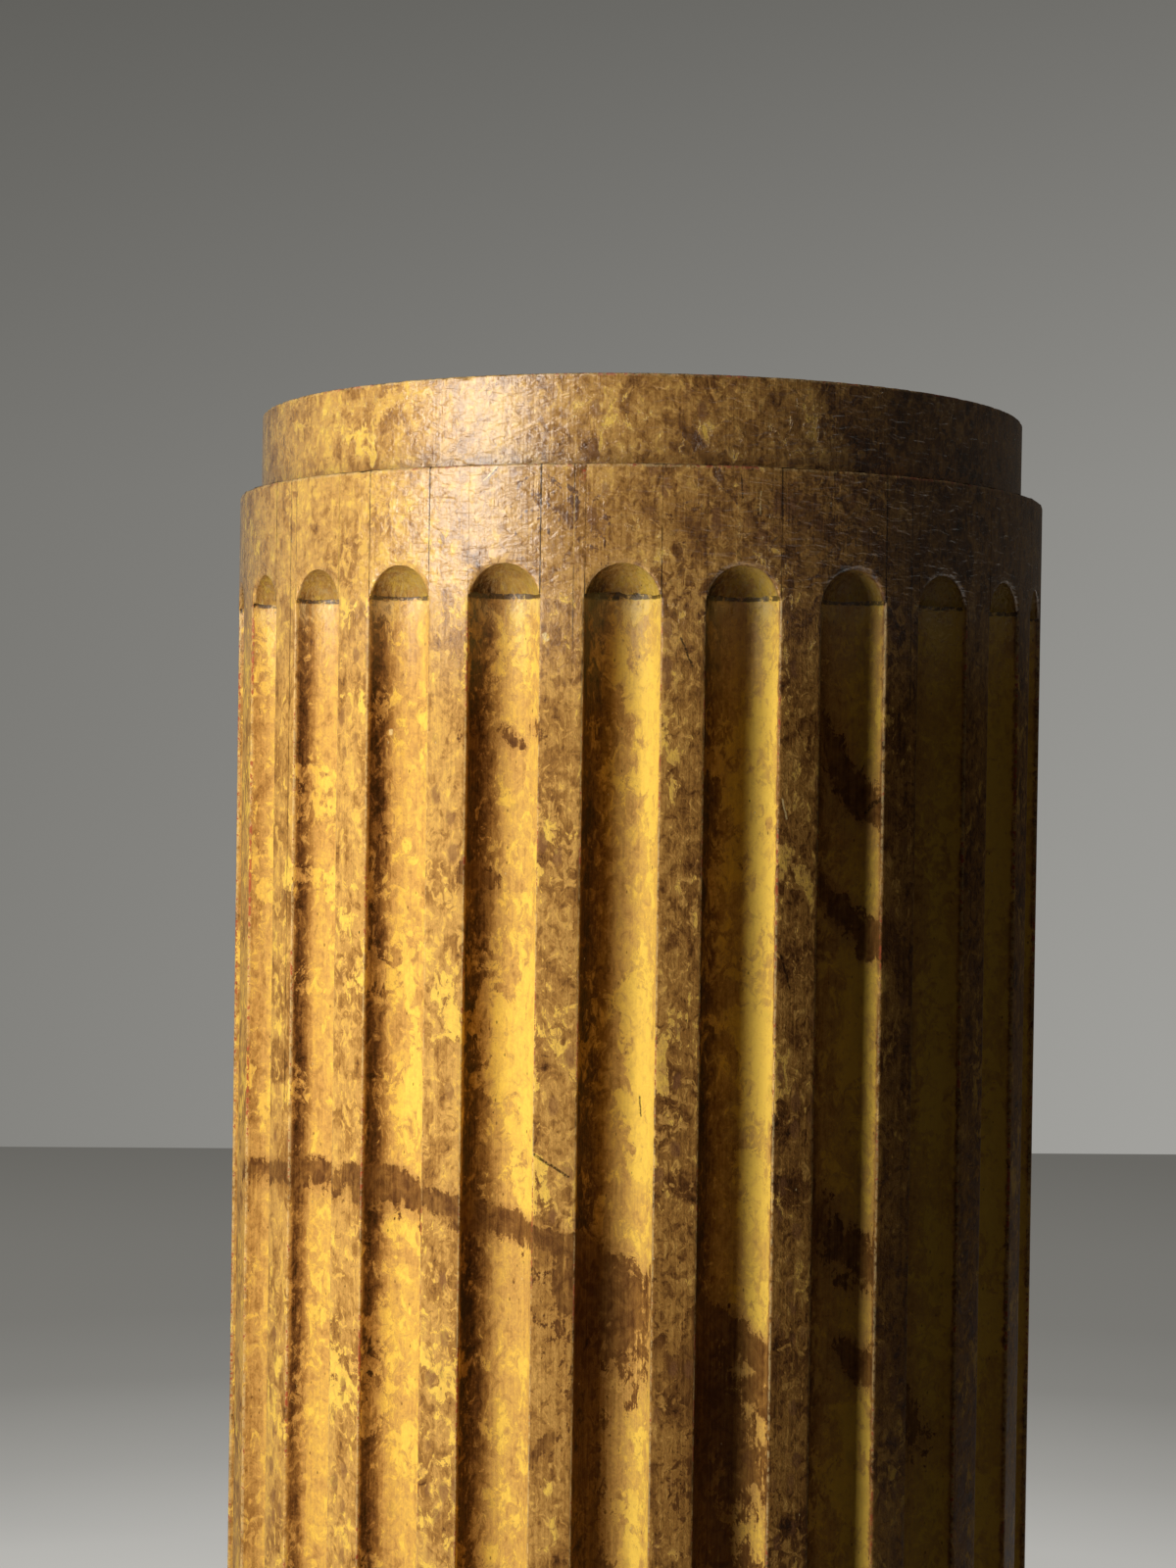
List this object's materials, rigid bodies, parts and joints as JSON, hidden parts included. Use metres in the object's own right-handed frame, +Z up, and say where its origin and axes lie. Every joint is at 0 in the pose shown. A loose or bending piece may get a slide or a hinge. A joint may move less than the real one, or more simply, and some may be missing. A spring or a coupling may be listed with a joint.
{
  "type": "painted wooden column",
  "caption": "Round fluted wooden column shaft, coopered from staves, with domed flute stops, a recessed flat cap and a worn ochre marbled finish.",
  "frame": {"origin": "centre of the foot's underside, on the column's axis", "axes": "+Z up along the column's axis, -Y through the middle of the front flute"},
  "size_m": [0.34, 0.34, 1],
  "materials": {
    "painted_wood": "satin",
    "painted_plug": "satin",
    "painted_cap": "satin",
    "bare_wood": "matte",
    "screw_steel": "worn"
  },
  "bodies": {
    "root": {"stave_1": "painted_wood", "stave_2": "painted_wood", "stave_3": "painted_wood", "stave_4": "painted_wood", "stave_5": "painted_wood", "stave_6": "painted_wood", "stave_7": "painted_wood", "stave_8": "painted_wood", "upper_plug_01": "painted_plug", "upper_plug_02": "painted_plug", "upper_plug_03": "painted_plug", "upper_plug_04": "painted_plug", "upper_plug_05": "painted_plug", "upper_plug_06": "painted_plug", "upper_plug_07": "painted_plug", "upper_plug_08": "painted_plug", "upper_plug_09": "painted_plug", "upper_plug_10": "painted_plug", "upper_plug_11": "painted_plug", "upper_plug_12": "painted_plug", "upper_plug_13": "painted_plug", "upper_plug_14": "painted_plug", "upper_plug_15": "painted_plug", "upper_plug_16": "painted_plug", "upper_plug_17": "painted_plug", "upper_plug_18": "painted_plug", "upper_plug_19": "painted_plug", "upper_plug_20": "painted_plug", "upper_plug_21": "painted_plug", "upper_plug_22": "painted_plug", "upper_plug_23": "painted_plug", "upper_plug_24": "painted_plug", "lower_plug_01": "painted_plug", "lower_plug_02": "painted_plug", "lower_plug_03": "painted_plug", "lower_plug_04": "painted_plug", "lower_plug_05": "painted_plug", "lower_plug_06": "painted_plug", "lower_plug_07": "painted_plug", "lower_plug_08": "painted_plug", "lower_plug_09": "painted_plug", "lower_plug_10": "painted_plug", "lower_plug_11": "painted_plug", "lower_plug_12": "painted_plug", "lower_plug_13": "painted_plug", "lower_plug_14": "painted_plug", "lower_plug_15": "painted_plug", "lower_plug_16": "painted_plug", "lower_plug_17": "painted_plug", "lower_plug_18": "painted_plug", "lower_plug_19": "painted_plug", "lower_plug_20": "painted_plug", "lower_plug_21": "painted_plug", "lower_plug_22": "painted_plug", "lower_plug_23": "painted_plug", "lower_plug_24": "painted_plug", "cap_disc": "painted_cap", "upper_former": "bare_wood", "lower_former": "bare_wood", "cap_screws": "screw_steel"}
  },
  "joints": []
}
